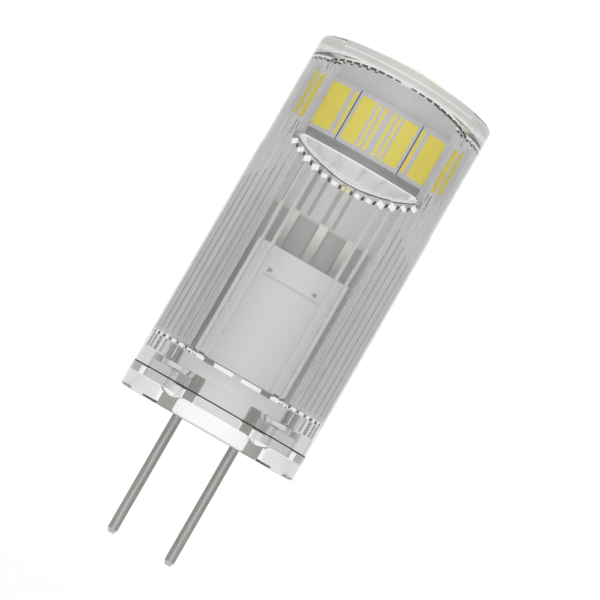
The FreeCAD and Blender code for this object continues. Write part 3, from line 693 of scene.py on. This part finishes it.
class BULB_OT_shelf(Operator):
    """Rim, field and rays of the sloped shelf under the light sources"""
    bl_idname = "bulb.shelf"
    bl_label = "Shelf"

    def execute(self, context):
        hues = colours()
        # The shelf's edge is polished and curves round: a painted highlight as a white band, with a line
        # of painted shade in grey under it.
        white = mottled("polished rim", hues.cut_highlight, 0.3, 0.02, {"Roughness": 0.2})
        grey = mottled("shaded rim", hues.rim, 0.3, 0.06, {"Roughness": 0.4})
        # The slope inside the rim is frosted: a thin veil of grey.
        frost = mottled("frosted shelf", hues.upper, 0.3, 0.03, {"Roughness": 0.5, "Alpha": 0.35})
        # Light spreads over it in faint pale rays.
        pale = mottled("shelf ray", hues.ray, 0.3, 0.03, {"Roughness": 0.5, "Alpha": 0.25})
        feet_and_heads = ((-2.6, -3.3), (-1.6, -2.4), (-0.75, -1.1), (0.25, 0.35), (1.0, 1.5), (2.0, 2.9))

        def rim(mesh, low, high):
            turns = steps(-0.84, 0.84, 33)
            for way in (-1, 1):
                ribbon(mesh, [shelf_point(turn, IN_WALL, low, way) for turn in turns],
                       [shelf_point(turn, IN_WALL, high, way) for turn in turns], 0.01)

        def field(mesh):
            for way in (-1, 1):
                low = [shelf_point(turn, 4.5, 0.05, way) for turn in steps(-0.76, 0.76, 25)]
                ribbon(mesh, low, [(x, 2.85 * way, 18.49) for x, y, z in low], 0.005)

        def rays(mesh):
            for way in (-1, 1):
                for foot, head in feet_and_heads:
                    deep = math.sqrt(4.7 ** 2 - foot ** 2)
                    low = SHELF_FOOT + 0.03 + shelf_rise(deep)
                    ribbon(mesh, [(foot - 0.05, deep * way, low), (head - 0.12, 2.8 * way, 18.5)],
                           [(foot + 0.05, deep * way, low), (head + 0.12, 2.8 * way, 18.5)], 0.005)

        new_piece("shelf_rim", lambda mesh: rim(mesh, 0.19, 0.37), white)
        new_piece("shelf_line", lambda mesh: rim(mesh, 0.06, 0.15), grey)
        new_piece("shelf_field", field, frost)
        new_piece("shelf_rays", rays, pale)
        return {"FINISHED"}


class BULB_OT_dome_lines(Operator):
    """Fine rings that the moulded steps of the shoulder draw under the dome"""
    bl_idname = "bulb.dome_lines"
    bl_label = "Dome lines"

    def execute(self, context):
        # Stepped clear plastic: a pale band with white rings where the steps turn to the light.
        material, tree, shader = new_material("moulded shoulder steps",
                                              {"Roughness": 0.4, "Alpha": 0.85})
        ring, step = colours().cut_highlight, colours().step
        parts = add(tree, "ShaderNodeSeparateXYZ", {}, {0: object_pattern(tree, 1.0).outputs[0]})
        place = add(tree, "ShaderNodeMapRange", {"From Min": SHOULDER_LOW, "From Max": SHOULDER_HIGH},
                    {"Value": parts.outputs["Z"]})
        ramp = add(tree, "ShaderNodeValToRGB", {}, {"Fac": place.outputs["Result"]})
        stops = ramp.color_ramp.elements
        stops[0].color, stops[1].color = ring, step
        for height, tone in ((23.98, ring), (24.02, step), (24.27, step), (24.31, ring),
                             (24.38, ring), (24.42, step)):
            stops.new((height - SHOULDER_LOW) / (SHOULDER_HIGH - SHOULDER_LOW)).color = tone
        tree.links.new(ramp.outputs["Color"], shader.inputs["Base Color"])
        bands = [(turn, turn + 10.0, SHOULDER_LOW, SHOULDER_HIGH) for turn in steps(0.0, 40.0, 5)]
        new_piece("shoulder_steps", lambda mesh: [wall_strip(mesh, *band, SHOULDER) for band in bands],
                  material)
        return {"FINISHED"}


class BULB_OT_rib_ends(Operator):
    """Faceted ends of the ribs: bright and dark cuts over the shelf and the plug, and dark dashes
    under the dome"""
    bl_idname = "bulb.rib_ends"
    bl_label = "Rib ends"

    def execute(self, context):
        # Small polished faces that turn to the light: white, like cut glass.
        bright = mottled("bright rib ends", colours().cut_highlight, 0.2, 0.02, {"Roughness": 0.2})
        # Those that turn away from it look nearly black.
        dark = mottled("dark rib ends", colours().dark_cut_shade, 0.2, 0.2, {"Roughness": 0.4})
        # Phosphor mirrored in two of them: a warm speck in the middle of the row.
        amber = mottled("amber glint", colours().glint, 0.1, 0.1, {"Roughness": 0.3})
        half_pitch = RIB_PITCH / 2

        def heads(mesh):
            for side in (0.0, math.pi):
                for number in range(-10, 11):
                    turn = number * half_pitch + side
                    tall = 0.1 + 0.05 * (number % 2)
                    block(mesh, (RIB_ENDS * math.cos(turn), RIB_ENDS * math.sin(turn), 23.36 - tall),
                          (0.04, 0.2, tall), turn)

        def feet(mesh, parity, size):
            for side in (0.0, math.pi):
                for number in range(-12, 13):
                    if number % 2 == parity:
                        turn = number * half_pitch + side
                        block(mesh, (RIB_ENDS * math.cos(turn), RIB_ENDS * math.sin(turn), 3.8),
                              size, turn)

        def row(mesh, parity, size):
            """Every other cut of the row over the shelf; those in the middle are smaller."""
            for way in (-1, 1):
                for number in range(-12, 13):
                    if number % 2 != parity or number == 0:
                        continue
                    angle = number * half_pitch
                    share = 0.75 if abs(number) < 5 and not parity else 1.0
                    height = SHELF_FOOT - 0.32 + shelf_rise(CHAMBER * math.cos(angle))
                    block(mesh, (IN_WALL * math.sin(angle), IN_WALL * math.cos(angle) * way, height),
                          [share * n for n in size], -angle * way, 0.6 * math.sin(angle) * -way)

        def dashes(mesh):
            depth = 2.62
            for way in (-1, 1):
                for across in steps(-4.0, 4.0, 19):
                    if abs(across) < 0.3:
                        continue
                    height = ceiling(math.hypot(across, depth)) - 0.1
                    lean = math.atan(across / 11.0)
                    block(mesh, (across, depth * way, height), (0.32, 0.05, 0.15), 0.0, lean)
                    if abs(across) > 1.7:
                        block(mesh, (across + 0.2, (depth + 0.04) * way, height - 0.1),
                              (0.16, 0.04, 0.1), 0.0, lean)

        def middle(mesh):
            for across in (-0.14, 0.14):
                for deep in (-IN_WALL, IN_WALL):
                    block(mesh, (across, deep, 16.6), (0.18, 0.04, 0.26))

        for name, build, material, slot in (
                ("rib_head_shades", heads, dark, "clear_plastic"),
                ("rib_foot_facets", lambda mesh: feet(mesh, 1, (0.04, 0.3, 0.2)), bright, "clear_plastic"),
                ("rib_foot_shades", lambda mesh: feet(mesh, 0, (0.04, 0.12, 0.16)), dark, "clear_plastic"),
                ("rib_end_facets", lambda mesh: row(mesh, 0, (0.44, 0.04, 0.34)), bright, "clear_plastic"),
                ("rib_end_shades", lambda mesh: row(mesh, 1, (0.14, 0.04, 0.26)), dark, "clear_plastic"),
                ("middle_facets", middle, amber, "phosphor"),
                ("ceiling_dashes", dashes, dark, "clear_plastic")):
            new_piece(name, build, material)
        return {"FINISHED"}


class BULB_OT_stage(Operator):
    """Floor, studio light and camera"""
    bl_idname = "bulb.stage"
    bl_label = "Stage"

    def execute(self, context):
        scene = context.scene
        given = sizes()
        low = START_BOX[0][2] - given.floor_drop
        mesh = bmesh.new()
        bmesh.ops.create_circle(mesh, cap_ends=True, segments=96, radius=300 * MM)
        bmesh.ops.translate(mesh, verts=mesh.verts, vec=(0, 0, low))
        data = bpy.data.meshes.new("floor")
        mesh.to_mesh(data)
        mesh.free()
        floor = bpy.data.objects.new("floor", data)
        scene.collection.objects.link(floor)
        # Matt white paper: it lights the lamp from below and melts into the background.
        material, tree, shader = new_material("pale studio floor", {
            "Base Color": linear("#FEFEFE"), "Roughness": 0.9, "Specular IOR Level": 0.0})
        data.materials.append(material)

        # A white studio whose sides are darker in what metal, gloss and clear plastic show of it, so
        # that edges and pins have a dark rim.  Transmission comes last, because those rays count as
        # glossy too.
        world = bpy.data.worlds.new("studio")
        scene.world = world
        world.use_nodes = True
        tree = world.node_tree
        tree.nodes.clear()
        path = add(tree, "ShaderNodeLightPath")
        place = add(tree, "ShaderNodeTexCoord")
        parts = add(tree, "ShaderNodeSeparateXYZ", {}, {0: place.outputs["Object"]})
        side = add(tree, "ShaderNodeMath", {"operation": "ABSOLUTE"}, {0: parts.outputs["X"]})
        level = add(tree, "ShaderNodeValue")
        level.outputs[0].default_value = 1.0
        for kind, dark in (("Is Glossy Ray", given.gloss_level),
                           ("Is Transmission Ray", given.side_level)):
            fall = add(tree, "ShaderNodeMapRange", {
                "interpolation_type": "SMOOTHSTEP", "From Min": 0.1, "From Max": 0.7, "To Min": 1.0,
                "To Max": dark}, {"Value": side.outputs[0]})
            level = add(tree, "ShaderNodeMix", {"data_type": "FLOAT"}, {
                0: path.outputs[kind], 2: level.outputs[0], 3: fall.outputs[0]})
        back = add(tree, "ShaderNodeBackground", {"Color": (1, 1, 1, 1)},
                   {"Strength": level.outputs[0]})
        add(tree, "ShaderNodeOutputWorld", {}, {"Surface": back.outputs[0]})

        camera = bpy.data.cameras.new("camera")
        holder = bpy.data.objects.new("camera", camera)
        scene.collection.objects.link(holder)
        place = Vector((given.aim_across, -given.camera_distance, given.camera_height))
        aim = Vector((given.aim_across, 0.0, given.aim_height))
        ahead = (aim - place).normalized()
        right = ahead.cross(Vector((0, 0, 1))).normalized()
        up = right.cross(ahead)
        turn = Matrix((right, up, -ahead)).transposed().to_4x4()
        holder.matrix_world = (Matrix.Translation(place) @ turn
                               @ Matrix.Rotation(given.roll, 4, "Z"))
        camera.sensor_width = 36.0
        camera.lens = 36.0 * (aim - place).length / given.view_width
        camera.clip_start = 0.001
        camera.clip_end = 10.0
        scene.camera = holder
        scene.view_settings.view_transform = "Standard"
        return {"FINISHED"}


STEPS = (BULB_OT_clear_parts, BULB_OT_pins, BULB_OT_plastics, BULB_OT_board, BULB_OT_seam,
         BULB_OT_cap_marks, BULB_OT_tracks, BULB_OT_rail_ends, BULB_OT_rib_crests,
         BULB_OT_wall_lines, BULB_OT_post_faces, BULB_OT_shelf, BULB_OT_dome_lines,
         BULB_OT_rib_ends, BULB_OT_stage)


class BULB_PT_panel(Panel):
    """Buttons that dress the bulb, piece by piece"""
    bl_idname = "BULB_PT_panel"
    bl_label = "Bulb"
    bl_space_type = "VIEW_3D"
    bl_region_type = "UI"
    bl_category = "Bulb"

    def draw(self, context):
        for step in STEPS:
            self.layout.operator(step.bl_idname)


CLASSES = (BulbColours, BulbSizes) + STEPS + (BULB_PT_panel,)


def register():
    for item in CLASSES:
        bpy.utils.register_class(item)
    bpy.types.Scene.bulb_colours = PointerProperty(type=BulbColours)
    bpy.types.Scene.bulb_sizes = PointerProperty(type=BulbSizes)


def unregister():
    del bpy.types.Scene.bulb_sizes
    del bpy.types.Scene.bulb_colours
    for item in reversed(CLASSES):
        bpy.utils.unregister_class(item)


def main():
    register()
    bpy.ops.bulb.clear_parts()
    bpy.ops.bulb.pins()
    bpy.ops.bulb.plastics()
    bpy.ops.bulb.board()
    bpy.ops.bulb.seam()
    bpy.ops.bulb.cap_marks()
    bpy.ops.bulb.tracks()
    bpy.ops.bulb.rail_ends()
    bpy.ops.bulb.rib_crests()
    bpy.ops.bulb.wall_lines()
    bpy.ops.bulb.post_faces()
    bpy.ops.bulb.shelf()
    bpy.ops.bulb.dome_lines()
    bpy.ops.bulb.rib_ends()
    bpy.ops.bulb.stage()


if __name__ == "__main__":
    main()
